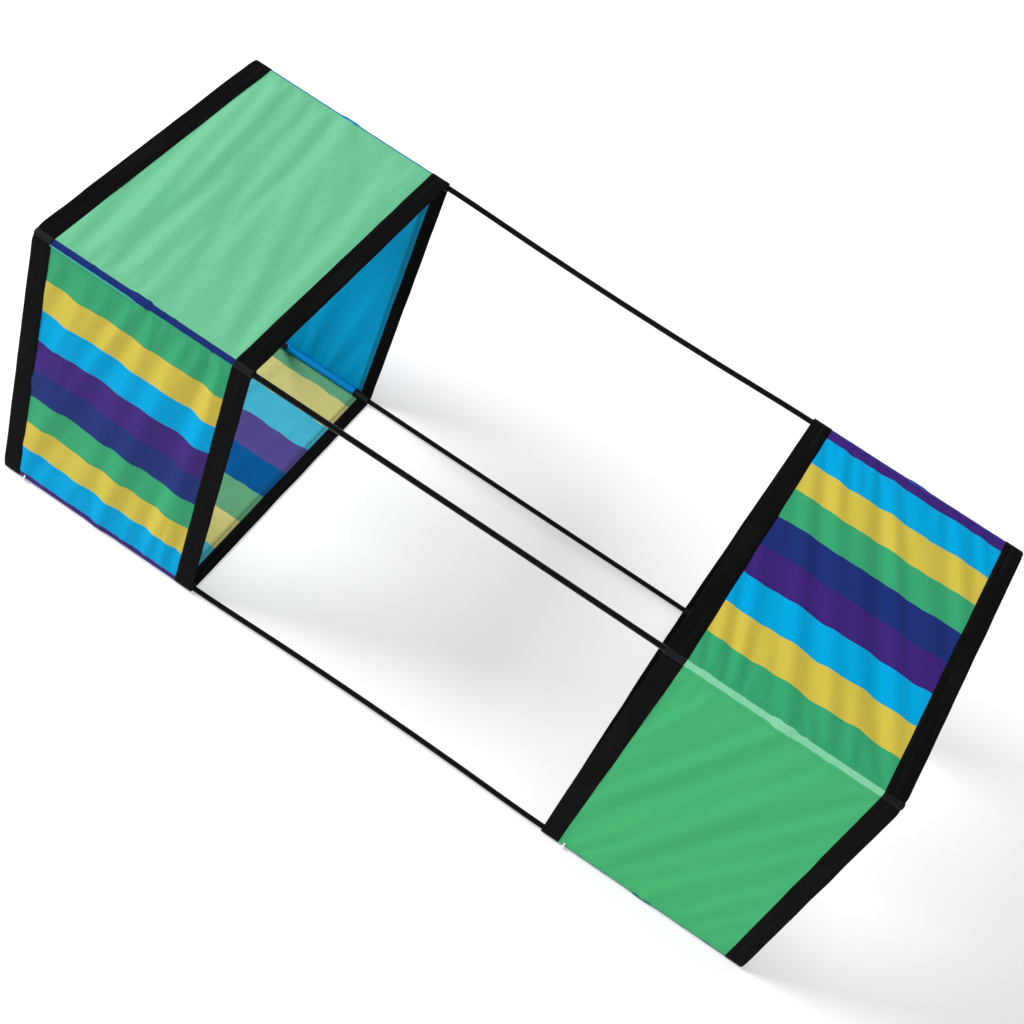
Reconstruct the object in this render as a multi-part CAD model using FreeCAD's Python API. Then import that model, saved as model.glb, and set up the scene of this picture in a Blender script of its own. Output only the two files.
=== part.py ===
"""A two-cell square box kite, lying on its bottom panels.

X runs along the kite, from the tow-line cell (low X) to the tail cell (high X). Z is up.
The origin is under the middle of the kite, on the plane of the bottom panels.

Four longerons carry four fabric sides. Seen along +X the longerons stand at the corners
of a square: front_low, front_high, back_high and back_low, where front is low Y.
Inside each cell, four half-spreaders reach from fittings on the longerons to a snap-in hub.
"""
import FreeCAD
import Part
import os
from math import atan, degrees, sin, sqrt

Vec = FreeCAD.Vector

# Driving dimensions, in millimetres
KITE_LENGTH = 1016.0
SIDE = 381.0  # between the axes of neighbouring longerons
CELL_LENGTH = 267.0
HEM_WIDTH = 23.0
LONGERON_RADIUS = 3.175
LONGERON_BOW = 3.2  # inward bow of each longeron between the cells
BOW_EASE = 60.0  # length over which a longeron turns into its bow, from a cell's mouth

# Fabric, measured outward from a longeron's axis
SKIN_OUTER = 5.3  # outer face of panels and hems
PANEL_THICKNESS = 0.8
HEM_THICKNESS = 1.6
HEM_END_GAP = 3.4  # from a longeron's axis to the end of a hem, along the side
SLEEVE_INNER = 3.3
SLEEVE_OUTER = 3.95
WRAP_OUTER = 4.65
POCKET_INNER = 4.05
POCKET_OUTER = 4.85
POCKET_END = 0.8
SLEEVE_GAP = 0.5

# Longeron ends
END_CAP_INNER = 3.195
END_CAP_OUTER = 3.95
END_CAP_LENGTH = 12.0
END_CAP_WALL = 1.5
END_CAP_INSET = 1.5

# Spreader fittings, measured inward from a longeron's axis
RING_INNER = 3.225
RING_OUTER = 5.05
RING_LENGTH = 14.0
NECK_START = 3.75
NECK_END = 7.95
PIVOT_OFFSET = 12.45
EAR_INNER = 1.9
EAR_OUTER = 3.1
EAR_RADIUS = 3.2
PIN_RADIUS = 1.0
PIN_HEAD_RADIUS = 1.6
PIN_HEAD = 0.5
PIN_FIT = 0.02
NOTCH_LENGTH = 20.0  # opening in the panels' edges, around a fitting
NOTCH_DEPTH = 6.45

# Half-spreaders, measured along the rod from its pivot
ROD_RADIUS = 2.0
ROD_START = 8.0
EYE_RADIUS = 3.0
EYE_HALF_WIDTH = 1.8
EYE_PLAY = 0.05
FERRULE_RADIUS = 3.25
FERRULE_START = 4.2
FERRULE_END = 24.0
SOCKET_FIT = 0.02

# Hubs, measured from the centre of a cell
HUB_RADIUS = 16.0
HUB_PLATE = 2.5
HUB_SEAT_GAP = 0.1
ROD_TIP = 6.0  # gap from the hub's centre to each rod's tip
CRADLE_START = 8.0
CRADLE_GAP = 0.3
CRADLE_WALL = 1.5
SOCKET_RADIUS = 3.6
SOCKET_BACK = 1.5
SOCKET_END = 22.0

# Bridle ties, knotted round the front_low longeron
TIE_RADIUS = 4.65
TIE_CORD_RADIUS = 0.5
TIE_FROM_HEM = 7.0
TIE_NOTCH_LENGTH = 6.0

# Worked out from the above
HALF = SIDE / 2
HALF_LENGTH = KITE_LENGTH / 2
AXIS_HEIGHT = HALF + SKIN_OUTER
INNER_MOUTH = HALF_LENGTH - CELL_LENGTH
CELL_CENTRE = HALF_LENGTH - CELL_LENGTH / 2
DIAGONAL = HALF * sqrt(2)
PIVOT_TO_HUB = DIAGONAL - PIVOT_OFFSET
X_AXIS = Vec(1, 0, 0)

# Corner name: its place on the square, as signs of Y and Z
CORNERS = {
    "front_low": (-1, -1),
    "front_high": (-1, 1),
    "back_high": (1, 1),
    "back_low": (1, -1),
}
# Side name: its outward direction, and the two corners that it joins
SIDES = {
    "top": (Vec(0, 0, 1), "front_high", "back_high"),
    "front": (Vec(0, -1, 0), "front_low", "front_high"),
    "bottom": (Vec(0, 0, -1), "front_low", "back_low"),
    "back": (Vec(0, 1, 0), "back_low", "back_high"),
}
# Cell name: the sign of its X
CELLS = {"tow": -1, "tail": 1}
HUB_CORNER = "back_high"  # the hub stays on this corner's half-spreader
TIE_CORNER = "front_low"


def corner_axis(corner, x=0.0):
    """Return the point on a longeron's axis at X."""
    y_sign, z_sign = CORNERS[corner]
    return Vec(x, y_sign * HALF, AXIS_HEIGHT + z_sign * HALF)


def inward(corner):
    """Return the direction from a longeron to the middle of the kite."""
    y_sign, z_sign = CORNERS[corner]
    return Vec(0, -y_sign, -z_sign) / sqrt(2)


def tube(start, direction, length, outer, inner):
    """Return a straight tube."""
    body = Part.makeCylinder(outer, length, start, direction)
    bore = Part.makeCylinder(inner, length, start, direction)
    return body.cut(bore)


def block(centre, along, across, half_sizes):
    """Return a box centred on a point, with its sides along, across and square to both."""
    up = along.cross(across)
    low = centre - along * half_sizes[0] - across * half_sizes[1] - up * half_sizes[2]
    box = Part.makeBox(2 * half_sizes[0], 2 * half_sizes[1], 2 * half_sizes[2])
    box.Placement = FreeCAD.Placement(low, FreeCAD.Rotation(along, across, up, "XYZ"))
    return box


def write(node, solids):
    """Write one sub-part's solids to its file."""
    shape = solids[0] if len(solids) == 1 else Part.makeCompound(solids)
    shape.exportStep("parts/" + node + ".step")


def x_tube(corner, x_start, x_end, outer, inner):
    """Return a tube round a longeron, between two values of X."""
    low = min(x_start, x_end)
    return tube(corner_axis(corner, low), X_AXIS, abs(x_end - x_start), outer, inner)


def longeron(corner):
    """Return one rod: straight in the cells and bowed slightly inward between them.

    Each half of the bow is two arcs that meet smoothly: a short one from the cell's mouth, then a long one.
    """
    depth = inward(corner)
    hinge = X_AXIS.cross(depth)
    arc_turn = 2 * atan(LONGERON_BOW / INNER_MOUTH)
    short_radius = BOW_EASE / sin(arc_turn)
    long_radius = (INNER_MOUTH - BOW_EASE) / sin(arc_turn)
    middle = corner_axis(corner) + depth * LONGERON_BOW
    rod_end = HALF_LENGTH - END_CAP_INSET - END_CAP_WALL
    pieces = []
    for sign in (-1, 1):
        mouth = corner_axis(corner, sign * INNER_MOUTH)
        pieces.append(Part.makeCylinder(LONGERON_RADIUS, rod_end - INNER_MOUTH, mouth, X_AXIS * sign))
        for start, centre in ((mouth, mouth + depth * short_radius), (middle, middle - depth * long_radius)):
            section = Part.Face(Part.Wire(Part.makeCircle(LONGERON_RADIUS, start, X_AXIS)))
            pieces.append(section.revolve(centre, hinge, -sign * degrees(arc_turn)))
    return pieces[0].fuse(pieces[1:])


def end_cap(corner, sign):
    """Return the cap pushed on one end of a longeron."""
    tip = HALF_LENGTH - END_CAP_INSET
    low = min(sign * tip, sign * (tip - END_CAP_LENGTH))
    body = Part.makeCylinder(END_CAP_OUTER, END_CAP_LENGTH, corner_axis(corner, low), X_AXIS)
    bore_low = low if sign > 0 else low + END_CAP_WALL
    depth = END_CAP_LENGTH - END_CAP_WALL
    bore = Part.makeCylinder(END_CAP_INNER, depth, corner_axis(corner, bore_low), X_AXIS)
    return body.cut(bore)


def corner_pocket(corner, sign):
    """Return the closed hem pocket that a longeron's end sits in."""
    length = HEM_WIDTH
    low = min(sign * HALF_LENGTH, sign * (HALF_LENGTH - length))
    body = Part.makeCylinder(POCKET_OUTER, length, corner_axis(corner, low), X_AXIS)
    bore_low = low if sign > 0 else low + POCKET_END
    bore = Part.makeCylinder(POCKET_INNER, length - POCKET_END, corner_axis(corner, bore_low), X_AXIS)
    return body.cut(bore)


def sleeves(corner, sign):
    """Return the two lengths of sewn sleeve on either side of a cell's fitting."""
    fitting_gap = RING_LENGTH / 2 + SLEEVE_GAP
    spans = [
        (INNER_MOUTH + HEM_WIDTH + SLEEVE_GAP, CELL_CENTRE - fitting_gap),
        (CELL_CENTRE + fitting_gap, HALF_LENGTH - HEM_WIDTH - SLEEVE_GAP),
    ]
    return [x_tube(corner, sign * a, sign * b, SLEEVE_OUTER, SLEEVE_INNER) for a, b in spans]


def fitting(corner, x):
    """Return the moulded ring and fork that holds a half-spreader's pivot."""
    depth = inward(corner)
    across = X_AXIS.cross(depth)
    axis = corner_axis(corner, x)
    pivot = axis + depth * PIVOT_OFFSET
    start = corner_axis(corner, x - RING_LENGTH / 2)
    ring = Part.makeCylinder(RING_OUTER, RING_LENGTH, start, X_AXIS)
    neck_middle = axis + depth * (NECK_START + NECK_END) / 2
    neck_size = (EAR_RADIUS, EAR_OUTER, (NECK_END - NECK_START) / 2)
    pieces = [block(neck_middle, X_AXIS, across, neck_size)]
    ear_half = (EAR_OUTER - EAR_INNER) / 2
    for side in (-1, 1):
        ear_middle = across * side * (EAR_INNER + ear_half)
        stem = axis + depth * (NECK_START + PIVOT_OFFSET) / 2 + ear_middle
        stem_size = (EAR_RADIUS, ear_half, (PIVOT_OFFSET - NECK_START) / 2)
        pieces.append(block(stem, X_AXIS, across, stem_size))
        ear_start = pivot + ear_middle - across * ear_half
        pieces.append(Part.makeCylinder(EAR_RADIUS, 2 * ear_half, ear_start, across))
    bore = Part.makeCylinder(RING_INNER, RING_LENGTH, start, X_AXIS)
    pin_hole = Part.makeCylinder(PIN_RADIUS + PIN_FIT, 2 * EAR_OUTER, pivot - across * EAR_OUTER, across)
    return ring.fuse(pieces).cut(bore).cut(pin_hole).removeSplitter()


def pivot_pin(corner, x):
    """Return the headed pin through a fitting's fork."""
    depth = inward(corner)
    across = X_AXIS.cross(depth)
    pivot = corner_axis(corner, x) + depth * PIVOT_OFFSET
    shank = Part.makeCylinder(PIN_RADIUS, 2 * EAR_OUTER, pivot - across * EAR_OUTER, across)
    heads = [
        Part.makeCylinder(PIN_HEAD_RADIUS, PIN_HEAD, pivot + across * EAR_OUTER, across),
        Part.makeCylinder(PIN_HEAD_RADIUS, PIN_HEAD, pivot - across * EAR_OUTER, -across),
    ]
    return shank.fuse(heads)


def spreader_rod(corner, x):
    """Return the plain rod of one half-spreader."""
    depth = inward(corner)
    pivot = corner_axis(corner, x) + depth * PIVOT_OFFSET
    length = PIVOT_TO_HUB - ROD_TIP - ROD_START
    return Part.makeCylinder(ROD_RADIUS, length, pivot + depth * ROD_START, depth)


def spreader_eye(corner, x):
    """Return the moulded end with the pivot eye and the socket for the rod."""
    depth = inward(corner)
    across = X_AXIS.cross(depth)
    pivot = corner_axis(corner, x) + depth * PIVOT_OFFSET
    width = 2 * EYE_HALF_WIDTH
    side_start = pivot - across * EYE_HALF_WIDTH
    eye = Part.makeCylinder(EYE_RADIUS, width, side_start, across)
    web_middle = pivot + depth * FERRULE_START / 2
    web_size = (EYE_HALF_WIDTH, EYE_HALF_WIDTH, FERRULE_START / 2)
    web = block(web_middle, X_AXIS, across, web_size)
    ferrule_length = FERRULE_END - FERRULE_START
    ferrule = Part.makeCylinder(FERRULE_RADIUS, ferrule_length, pivot + depth * FERRULE_START, depth)
    bore = Part.makeCylinder(PIN_RADIUS + EYE_PLAY, width, side_start, across)
    socket_length = FERRULE_END - ROD_START
    socket = Part.makeCylinder(ROD_RADIUS + SOCKET_FIT, socket_length, pivot + depth * ROD_START, depth)
    return eye.fuse([web, ferrule]).cut(bore).cut(socket).removeSplitter()


def hub(sign):
    """Return a cell's hub: a plate with three open cradles and one closed socket.

    The cradles open towards the middle of the kite.
    """
    centre = Vec(sign * CELL_CENTRE, 0, AXIS_HEIGHT)
    opening = X_AXIS * -sign
    seat = ROD_RADIUS + HUB_SEAT_GAP
    plate = Part.makeCylinder(HUB_RADIUS, HUB_PLATE, centre - opening * seat, -opening)
    envelope = Part.makeCylinder(HUB_RADIUS, HUB_PLATE + seat, centre, -opening)
    walls = []
    for corner in CORNERS:
        if corner == HUB_CORNER:
            continue
        outward = -inward(corner)
        across = X_AXIS.cross(outward)
        half_length = (HUB_RADIUS - CRADLE_START) / 2
        wall_size = (half_length, CRADLE_WALL / 2, (seat + HUB_PLATE / 2) / 2)
        for side in (-1, 1):
            shift = across * side * (ROD_RADIUS + CRADLE_GAP + CRADLE_WALL / 2)
            middle = centre + outward * (CRADLE_START + half_length) + shift - opening * wall_size[2]
            wall = block(middle, outward, across, wall_size)
            walls.append(wall.common(envelope))
    outward = -inward(HUB_CORNER)
    socket_start = ROD_TIP - SOCKET_BACK
    socket_length = SOCKET_END - socket_start
    socket = Part.makeCylinder(SOCKET_RADIUS, socket_length, centre + outward * socket_start, outward)
    bore_length = SOCKET_END - ROD_TIP
    bore = Part.makeCylinder(ROD_RADIUS + SOCKET_FIT, bore_length, centre + outward * ROD_TIP, outward)
    return plate.fuse(walls + [socket]).cut(bore).removeSplitter()


def side_plate(side, x_low, x_high, inner, outer, end_gap):
    """Return a flat plate of one side, between two distances from the longerons' plane."""
    outward, first, second = SIDES[side]
    start = corner_axis(first)
    along = (corner_axis(second) - start) / SIDE
    middle = start + along * HALF + outward * (inner + outer) / 2
    middle.x = (x_low + x_high) / 2
    half_sizes = ((x_high - x_low) / 2, HALF - end_gap, (outer - inner) / 2)
    return block(middle, X_AXIS, along, half_sizes)


def notch(corner, x, length):
    """Return the space to clear in the panels' edges around something on a longeron."""
    return block(corner_axis(corner, x), X_AXIS, Vec(0, 1, 0), (length / 2, NOTCH_DEPTH, NOTCH_DEPTH))


def tie_position(sign):
    """Return the X of a bridle tie: just inside the end of each cell nearer the tow line."""
    if sign < 0:
        return -(HALF_LENGTH - HEM_WIDTH - TIE_FROM_HEM)
    return INNER_MOUTH + HEM_WIDTH + TIE_FROM_HEM


def panel(side, sign):
    """Return the fabric of one side of a cell, between its two hems."""
    ends = sorted([sign * (INNER_MOUTH + HEM_WIDTH), sign * (HALF_LENGTH - HEM_WIDTH)])
    plate = side_plate(side, ends[0], ends[1], SKIN_OUTER - PANEL_THICKNESS, SKIN_OUTER, 0)
    corners = SIDES[side][1:]
    cuts = [notch(corner, sign * CELL_CENTRE, NOTCH_LENGTH) for corner in corners]
    if TIE_CORNER in corners:
        cuts.append(notch(TIE_CORNER, tie_position(sign), TIE_NOTCH_LENGTH))
    return plate.cut(cuts)


def hems(side):
    """Return the four folded hems of one side, one at each mouth of each cell."""
    solids = []
    inner = SKIN_OUTER - HEM_THICKNESS
    for sign in CELLS.values():
        for mouth in (HALF_LENGTH, INNER_MOUTH + HEM_WIDTH):
            ends = sorted([sign * mouth, sign * (mouth - HEM_WIDTH)])
            solids.append(side_plate(side, ends[0], ends[1], inner, SKIN_OUTER, HEM_END_GAP))
    return solids


def inner_wrap(corner, sign):
    """Return the hem's fabric where it passes round a longeron at a cell's inner mouth."""
    return x_tube(corner, sign * INNER_MOUTH, sign * (INNER_MOUTH + HEM_WIDTH), WRAP_OUTER, SLEEVE_INNER)


def bridle_tie(sign):
    """Return the cord knotted round a longeron, as a closed ring."""
    return Part.makeTorus(TIE_RADIUS, TIE_CORD_RADIUS, corner_axis(TIE_CORNER, tie_position(sign)), X_AXIS)


def build():
    """Write every sub-part."""
    os.makedirs("parts", exist_ok=True)
    signs = list(CELLS.values())
    for corner in CORNERS:
        write("longeron_" + corner, [longeron(corner)])
        write("end_caps_" + corner, [end_cap(corner, sign) for sign in signs])
        write("corner_pockets_" + corner, [corner_pocket(corner, sign) for sign in signs])
        write("inner_corner_wraps_" + corner, [inner_wrap(corner, sign) for sign in signs])
        write("sleeves_" + corner, [solid for sign in signs for solid in sleeves(corner, sign)])
        write("spreader_fittings_" + corner, [fitting(corner, sign * CELL_CENTRE) for sign in signs])
        write("pivot_pins_" + corner, [pivot_pin(corner, sign * CELL_CENTRE) for sign in signs])
        for cell, sign in CELLS.items():
            write(cell + "_spreader_rod_" + corner, [spreader_rod(corner, sign * CELL_CENTRE)])
            write(cell + "_spreader_eye_" + corner, [spreader_eye(corner, sign * CELL_CENTRE)])
    for cell, sign in CELLS.items():
        write(cell + "_hub", [hub(sign)])
        for side in SIDES:
            write(cell + "_panel_" + side, [panel(side, sign)])
    for side in SIDES:
        write("hems_" + side, hems(side))
    write("bridle_ties", [bridle_tie(sign) for sign in signs])


build()
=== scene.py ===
"""Looks for a two-cell square box kite: fabric panels, sleeves, hems, stitching, rods and fittings.

The kite lies on its bottom side. X runs along it, Z is up, and lengths are in metres.
"""
import math

import bpy
import numpy as np
from mathutils import Matrix, Vector, noise


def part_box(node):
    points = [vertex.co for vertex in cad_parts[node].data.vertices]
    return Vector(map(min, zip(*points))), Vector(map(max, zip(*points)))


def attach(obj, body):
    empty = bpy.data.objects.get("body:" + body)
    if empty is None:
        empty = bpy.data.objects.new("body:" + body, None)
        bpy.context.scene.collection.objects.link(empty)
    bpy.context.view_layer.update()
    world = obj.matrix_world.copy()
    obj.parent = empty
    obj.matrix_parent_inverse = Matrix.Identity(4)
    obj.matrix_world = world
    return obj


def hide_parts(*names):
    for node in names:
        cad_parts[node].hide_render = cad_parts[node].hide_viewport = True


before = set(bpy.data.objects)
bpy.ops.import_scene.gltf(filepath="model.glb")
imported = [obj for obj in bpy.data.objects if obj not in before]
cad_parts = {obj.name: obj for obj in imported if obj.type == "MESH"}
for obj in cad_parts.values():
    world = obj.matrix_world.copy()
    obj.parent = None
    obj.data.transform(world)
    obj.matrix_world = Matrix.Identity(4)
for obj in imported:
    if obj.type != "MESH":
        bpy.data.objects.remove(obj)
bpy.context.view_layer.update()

MM = 0.001

# -------------------------------- places, taken from the frame

CORNERS = {
    "front_low": (-1, -1),
    "front_high": (-1, 1),
    "back_high": (1, 1),
    "back_low": (1, -1),
}
# Side: outward direction, first corner and second corner
SIDES = {
    "top": ((0, 0, 1), "front_high", "back_high"),
    "front": ((0, -1, 0), "front_high", "front_low"),
    "bottom": ((0, 0, -1), "back_low", "front_low"),
    "back": ((0, 1, 0), "back_low", "back_high"),
}
CELLS = {"tow": -1, "tail": 1}


def corner_axis(corner):
    """Return the Y and Z of a longeron's axis, from the caps on its ends."""
    low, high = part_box("end_caps_" + corner)
    return np.array([0.0, (low.y + high.y) / 2, (low.z + high.z) / 2])


AXIS = {corner: corner_axis(corner) for corner in CORNERS}
SIDE_LENGTH = float(np.linalg.norm(AXIS["back_high"] - AXIS["front_high"]))
ROD_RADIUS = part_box("longeron_front_high")[1].z - AXIS["front_high"][2]
KITE_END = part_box("corner_pockets_front_high")[1].x
PANEL_LOW_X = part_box("tail_panel_top")[0].x
PANEL_HIGH_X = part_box("tail_panel_top")[1].x
HEM_WIDTH = KITE_END - PANEL_HIGH_X
INNER_MOUTH = PANEL_LOW_X - HEM_WIDTH
CELL_CENTRE = (PANEL_LOW_X + PANEL_HIGH_X) / 2
SKIN_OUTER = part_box("tow_panel_top")[1].z - AXIS["front_high"][2]
HEM_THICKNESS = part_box("hems_top")[1].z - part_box("hems_top")[0].z

# -------------------------------- sizes of the fabric

CLOTH_THICKNESS = 0.4 * MM
SHEET_OFFSET = SKIN_OUTER - 0.65 * MM  # middle of the cloth, outward from a longeron's axis
TUCK = 11 * MM  # how far a panel runs into its hems
GRID = 3.8 * MM
SLEEVE_RADIUS = SKIN_OUTER - 0.5 * MM
SLEEVE_SNUG = ROD_RADIUS + 0.8 * MM  # a sleeve's radius on the side that faces into the cell
BUMP_HEIGHT = 0.8 * MM  # where the fabric passes over a spreader fitting
BUMP_LENGTH = 14 * MM
RIPSTOP_FINE = 1.1 * MM  # pitch of the weave's fine threads
RIPSTOP_HEAVY = 2.4 * MM  # pitch of its heavier threads
RIPSTOP_RIB = 0.45 * MM  # half width of a heavier thread
PAINTED_STREAK_TURN = 0.25  # slant of the streaks of painted shade that stand in for the cloth's tension wrinkles
HEM_LAYER = 0.45 * MM
HEM_INSIDE_WIDTH = 15 * MM  # the folded band is narrower on the inside of a cell
HEM_PUFF = 0.12 * MM
HEM_STEPS = 100  # lengths that a hem is made of
CORNER_CUT = 1.4 * MM  # how far the hems draw back where they meet a rod's end
CORNER_CUT_LENGTH = 11 * MM
WRAP_SKIN = SKIN_OUTER + 0.05 * MM  # outside of the hems where they pass round a rod
WRAP_CLOTH = 0.35 * MM  # thickness of sleeves and wraps
FLOOR_GAP = 0.1 * MM  # the wraps and sleeves flatten where they would sink below this
STITCH_PITCH = 3.2 * MM
STITCH_LENGTH = 2.3 * MM  # the part of the pitch that shows
THREAD_RADIUS = 0.2 * MM
THREAD_LIFT = 0.1 * MM  # how far the middle of a stitch stands up from its ends
ZIGZAG_WIDTH = 2.6 * MM
SEAM_FROM_AXIS = 5.6 * MM  # a longeron's seam, from the rod's axis
SEAM_END = 6 * MM  # where the stitching across a panel or hem stops short of the axis

# Striped panels: width of the first stripe from the panel's first corner, then the pitch of the rest
PRINT = {
    "tow_front": (52 * MM, 46 * MM),
    "tow_bottom": (22 * MM, 48.8 * MM),
    "tail_top": (44 * MM, 46 * MM),
    "tail_back": (44 * MM, 46 * MM),
}
WAVE_HEIGHT = 1.2 * MM
WAVE_LENGTH = 88 * MM
WAVE_SLANT = 0.27

# Panel: spare length of cloth along X, the sideways shift between its two corners that slants the folds,
# and where the spare length gathers, as (share of the panel's length, how much)
SLACK = {
    "tow_top": (0.0032, 0.25 * MM, ((0.14, 1.0), (0.38, 1.1), (0.94, 0.8))),
    "tow_front": (0.0085, 1.1 * MM, ((0.08, 0.4), (0.52, 1.0), (0.86, 1.6))),
    "tow_bottom": (0.004, 0.6 * MM, ((0.50, 1.0),)),
    "tow_back": (0.007, -0.9 * MM, ((0.20, 1.0), (0.70, 1.0))),
    "tail_top": (0.0042, 1.8 * MM, ((0.22, 1.6), (0.60, 0.4), (0.80, 0.5))),
    "tail_front": (0.0021, 0.9 * MM, ((0.15, 1.4), (0.52, 0.7), (0.75, 0.5))),
    "tail_bottom": (0.004, -0.6 * MM, ((0.50, 1.0),)),
    "tail_back": (0.008, 1.5 * MM, ((0.30, 1.0), (0.60, 1.0))),
}
GATHER_WIDTH = 38 * MM
STEEP = 0.16  # slope of a fold that takes the full change of tone
SETTLE_FRAMES = 10  # the frame closes in on the cloth over these
SIM_FRAMES = 20

# -------------------------------- colours

STRIPES = ["green", "yellow", "cyan", "purple", "navy"]
CLOTH_COLOURS = {
    "green": (52, 161, 110),
    "yellow": (203, 184, 70),
    "cyan": (0, 161, 214),
    "purple": (58, 30, 118),
    "navy": (22, 43, 115),
    "mint": (113, 189, 147),
    "leaf": (68, 180, 114),
    # painted highlight: the leaf cloth of the tail's front high sleeve, paler where light catches it round
    # the rod
    "leaf_painted_highlight": (122, 202, 158),
    # painted shade: the cyan cloth of the tail's front low sleeve, darker where it lies in shadow
    "cyan_painted_shade": (0, 92, 112),
    "sky": (0, 132, 200),
    "violet": (58, 38, 120),
    "royal": (40, 74, 168),
    "ice": (84, 176, 190),
}
# The same cloths from inside a cell, in paler colours of painted light, for the light that comes through
# them
REVERSE_COLOURS = {
    "green": (102, 164, 122),
    "yellow": (212, 202, 126),
    "cyan": (74, 182, 206),
    "purple": (86, 73, 142),
    "navy": (2, 87, 149),
    "mint": (120, 203, 156),
    "leaf": (80, 180, 120),
    "cyan_plain": (0, 168, 222),
}
# Panel: its one colour, or None where it is striped
PANEL_CLOTH = {
    "tow_top": "mint",
    "tow_front": None,
    "tow_bottom": None,
    "tow_back": "cyan",
    "tail_top": None,
    "tail_front": "leaf",
    "tail_bottom": "cyan",
    "tail_back": None,
}
SLEEVE_CLOTH = {
    "tow_front_high": "navy",
    "tow_back_high": "sky",
    "tow_front_low": "violet",
    "tow_back_low": "sky",
    "tail_front_high": "leaf_painted_highlight",
    "tail_back_high": "royal",
    "tail_front_low": "cyan_painted_shade",
    "tail_back_low": "green",
}


def linear(colour):
    """Return a screen colour of 0 to 255 as linear values with alpha."""
    values = [c / 255 for c in colour]
    return [v / 12.92 if v <= 0.04045 else ((v + 0.055) / 1.055) ** 2.4 for v in values] + [1.0]


# -------------------------------- materials


class Nodes:
    """A short way to build a node material."""

    def __init__(self, name):
        self.material = bpy.data.materials.new(name)
        self.material.use_nodes = True
        self.tree = self.material.node_tree
        self.bsdf = self.tree.nodes["Principled BSDF"]
        self.output = self.tree.nodes["Material Output"]

    def add(self, kind, **inputs):
        """Add a node, and set or link its inputs by name."""
        node = self.tree.nodes.new("ShaderNode" + kind)
        for name, value in inputs.items():
            self.put(node.inputs[name.replace("_", " ")], value)
        return node

    def put(self, socket, value):
        """Set an input, or link it where the value is another node's output."""
        if isinstance(value, bpy.types.NodeSocket):
            self.tree.links.new(value, socket)
        else:
            socket.default_value = value

    def set(self, name, value):
        """Set or link one of the surface's inputs."""
        self.put(self.bsdf.inputs[name], value)

    def math(self, operation, first, second=0.0):
        """Return the output of a maths node."""
        node = self.tree.nodes.new("ShaderNodeMath")
        node.operation = operation
        self.put(node.inputs[0], first)
        self.put(node.inputs[1], second)
        return node.outputs[0]

    def times(self, first, second):
        """Return a product."""
        return self.math("MULTIPLY", first, second)

    def plus(self, first, second):
        """Return a sum."""
        return self.math("ADD", first, second)

    def ramp(self, value, low, high):
        """Return 0 to 1 as a value passes from low to high."""
        node = self.add("MapRange", Value=value, From_Min=low, From_Max=high)
        return node.outputs[0]

    def mix(self, share, first, second):
        """Return a mix of two colours."""
        node = self.tree.nodes.new("ShaderNodeMix")
        node.data_type = "RGBA"
        self.put(node.inputs[0], share)
        self.put(node.inputs[6], first)
        self.put(node.inputs[7], second)
        return node.outputs[2]

    def noise(self, vector, scale, detail):
        """Return a noise value."""
        node = self.add("TexNoise", Vector=vector, Scale=scale, Detail=detail)
        return node.outputs[0]

    def stretched(self, vector, scale, turn=0.0):
        """Return coordinates scaled by three numbers and turned about their third axis."""
        node = self.add("Mapping", Vector=vector, Scale=scale, Rotation=(0, 0, turn))
        return node.outputs[0]

    def bump(self, height, distance, strength):
        """Link a bump to the surface."""
        node = self.add("Bump", Height=height, Distance=distance, Strength=strength)
        self.set("Normal", node.outputs[0])


def scaled(colour, factor):
    """Return a colour made darker or lighter."""
    return [min(1.0, c * factor) for c in colour[:3]] + [1.0]


def ripstop(nodes, uv):
    """Return the height of a ripstop weave: fine threads with heavier ones between them."""
    split = nodes.add("SeparateXYZ", Vector=uv)
    threads = []
    for axis in (0, 1):
        fine = nodes.math("SINE", nodes.times(split.outputs[axis], 2 * math.pi / RIPSTOP_FINE))
        heavy = nodes.math("PINGPONG", split.outputs[axis], RIPSTOP_HEAVY / 2)
        rib = nodes.ramp(heavy, RIPSTOP_RIB, 0.0)
        threads.append(nodes.plus(nodes.times(fine, 0.25), rib))
    return nodes.math("MAXIMUM", threads[0], threads[1])


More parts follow.
